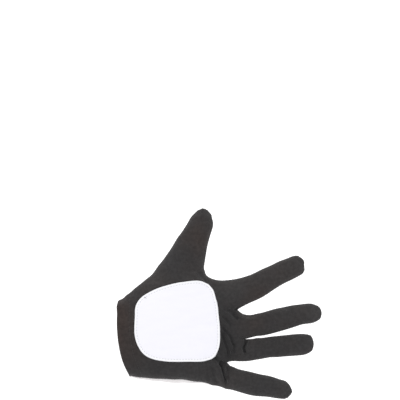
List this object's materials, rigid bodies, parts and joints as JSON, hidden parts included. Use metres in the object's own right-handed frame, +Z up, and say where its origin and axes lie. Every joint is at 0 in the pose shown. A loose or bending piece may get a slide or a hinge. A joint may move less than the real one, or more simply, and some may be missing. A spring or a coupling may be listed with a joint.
{
  "type": "costume glove",
  "caption": "Stretch-knit dress glove for the right hand, black back with a plain white rounded patch, white palm, open at the wrist.",
  "frame": {"origin": "on the surface that the glove lies on, under the middle of its outline's box", "axes": "+X from the wrist towards the fingers, +Y towards the thumb, +Z up through the back of the hand"},
  "size_m": [0.2044, 0.1904, 0.0202],
  "materials": {
    "black_knit": "matte fine jersey knit",
    "white_knit": "matte fine jersey knit",
    "patch_fabric": "smooth satin cloth"
  },
  "bodies": {
    "root": {"back_panel": "black_knit", "palm_panel": "white_knit", "hand_patch": "patch_fabric"}
  },
  "joints": []
}
